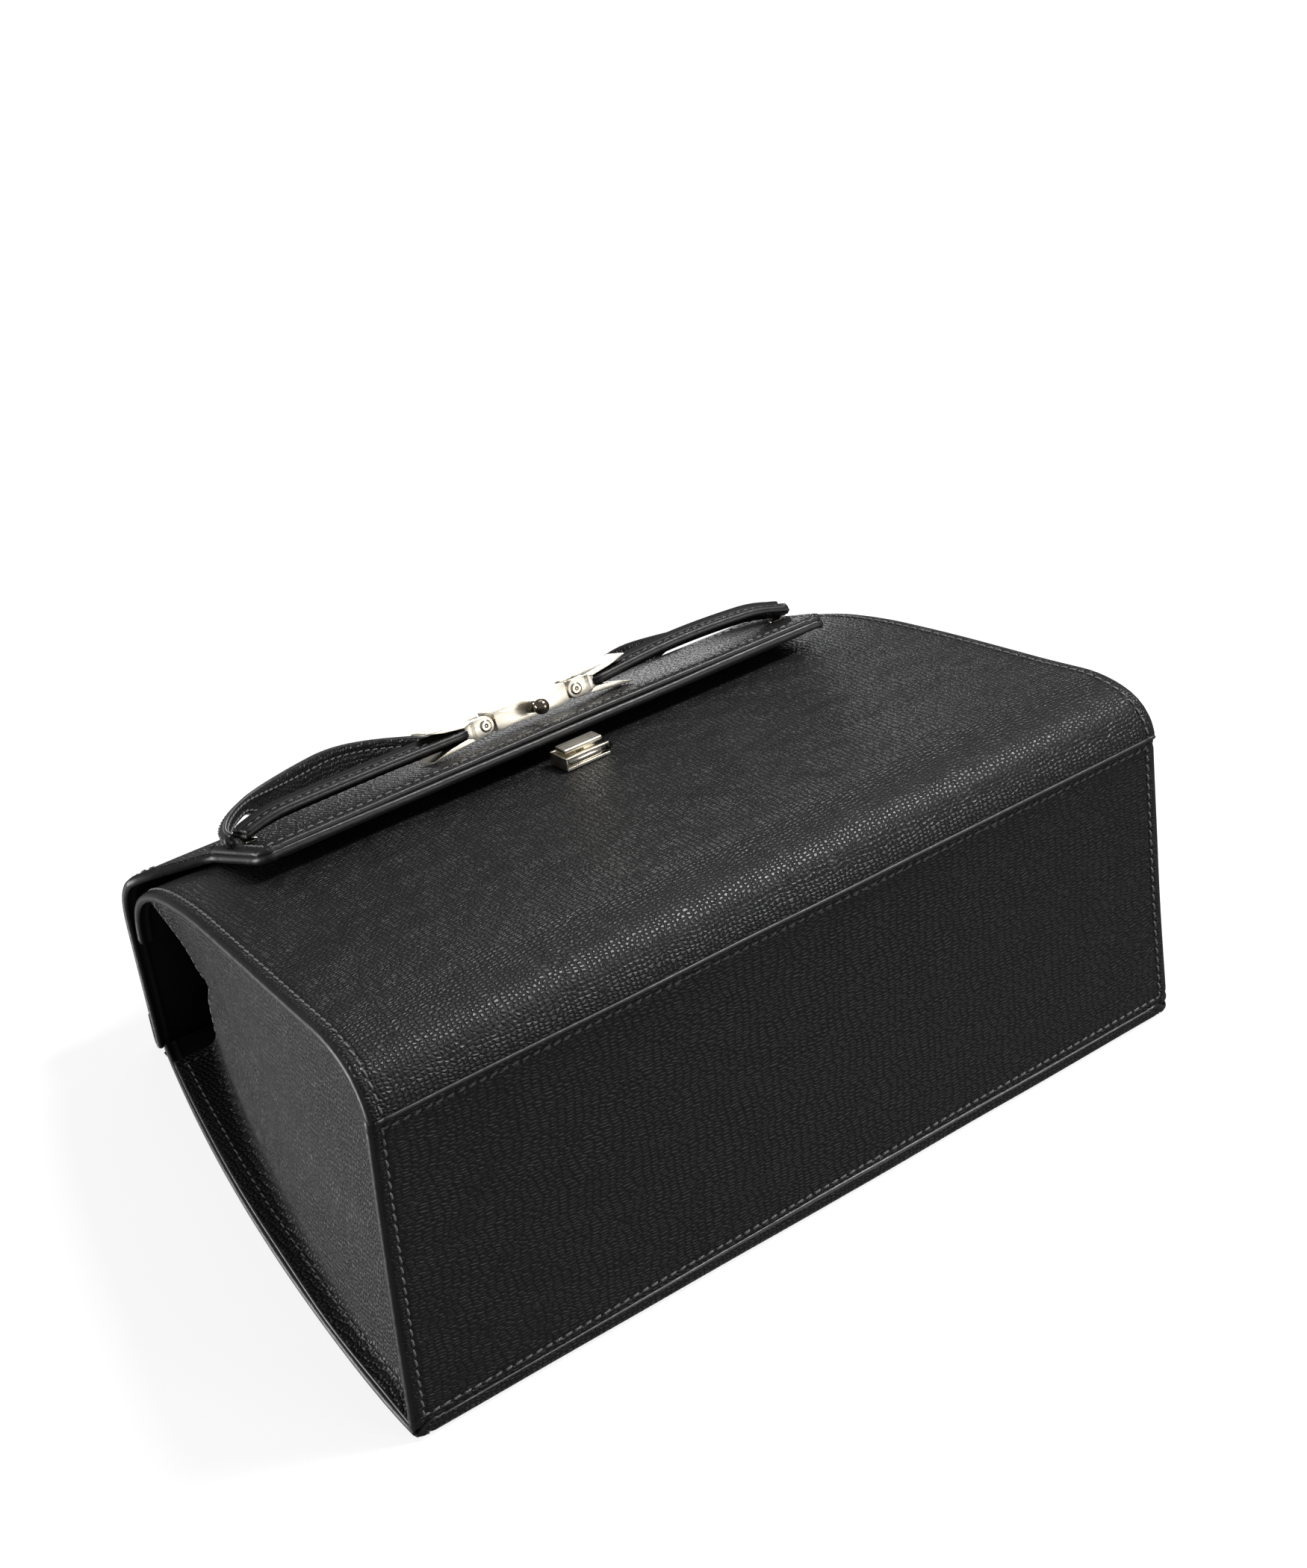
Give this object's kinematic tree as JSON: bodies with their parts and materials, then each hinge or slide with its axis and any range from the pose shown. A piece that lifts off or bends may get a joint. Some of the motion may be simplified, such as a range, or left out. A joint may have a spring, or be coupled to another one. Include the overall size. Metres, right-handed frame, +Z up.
{
  "type": "doctor bag",
  "caption": "Structured trapezoid leather doctor bag with folded gussets, roof flap, loop handle, two-fork link bar and turn lock.",
  "frame": {"origin": "middle of the base, on the surface that the bag stands on", "axes": "+Z up, -Y to the front with the lock, +X to the right seen from behind the front"},
  "size_m": [0.2916, 0.1266, 0.2044],
  "materials": {
    "grained_leather": "black cross-grain embossed, satin, painted edges",
    "gusset_leather": "black cross-grain embossed, soft, matte",
    "smooth_leather": "black smooth, satin",
    "lining_cloth": "black twill",
    "fibre_board": "pressed fibre board",
    "gold_metal": "pale gold, brushed and polished",
    "steel": "brushed"
  },
  "bodies": {
    "body": {"front_panel": "grained_leather", "bottom_panel": "grained_leather", "back_panel": "grained_leather", "gusset_left": "gusset_leather", "gusset_right": "gusset_leather", "front_lining": "lining_cloth", "back_lining": "lining_cloth", "base_board": "fibre_board", "bottom_lining": "lining_cloth", "inner_pocket": "lining_cloth", "mouth_stay": "steel", "lock_frame": "gold_metal", "lock_barrel": "gold_metal", "lock_backing": "steel", "lock_screws": "steel"},
    "flap": {"flap": "grained_leather", "tab_facing": "grained_leather", "flap_lining": "smooth_leather", "root_rivets": "gold_metal"},
    "handle": {"handle_band": "grained_leather", "handle_lining": "smooth_leather"},
    "link_left": {"strap_left": "grained_leather", "fork_left": "gold_metal", "rivets_left": "gold_metal", "pin_left": "gold_metal"},
    "link_bar": {"link_bar": "gold_metal", "ball_stud": "gold_metal"},
    "link_right": {"strap_right": "grained_leather", "fork_right": "gold_metal", "rivets_right": "gold_metal", "pin_right": "gold_metal"},
    "turn": {"turn_plate": "gold_metal", "turn_spindle": "gold_metal"}
  },
  "joints": [
    {"name": "flap_hinge", "type": "hinge", "parent": "body", "child": "flap", "pos_m": [0, 0.02733, 0.1715], "axis": [-1, 0, 0], "range_deg": [0, 150]},
    {"name": "handle_swing", "type": "hinge", "parent": "flap", "child": "handle", "pos_m": [0, -0.05714, 0.13165], "axis": [1, 0, 0], "range_deg": [0, 120]},
    {"name": "link_left_flex", "type": "hinge", "parent": "flap", "child": "link_left", "pos_m": [-0.103, -0.05714, 0.13165], "axis": [0, -0.3355, -0.9421], "range_deg": [0, 4]},
    {"name": "link_bar_pin", "type": "hinge", "parent": "link_left", "child": "link_bar", "pos_m": [-0.017, -0.05714, 0.13165], "axis": [0, 0.3355, 0.9421], "range_deg": [0, 4]},
    {"name": "link_right_flex", "type": "hinge", "parent": "flap", "child": "link_right", "pos_m": [0.103, -0.05714, 0.13165], "axis": [0, 0.3355, 0.9421], "range_deg": [0, 4]},
    {"name": "lock_turn", "type": "hinge", "parent": "body", "child": "turn", "pos_m": [0, -0.04896, 0.1025], "axis": [0, -0.9984, 0.0558], "range_deg": [0, 90]}
  ],
  "couplings": [
    {"joint": "link_bar_pin", "follows": "link_left_flex", "ratio": 1},
    {"joint": "link_right_flex", "follows": "link_left_flex", "ratio": 1}
  ]
}
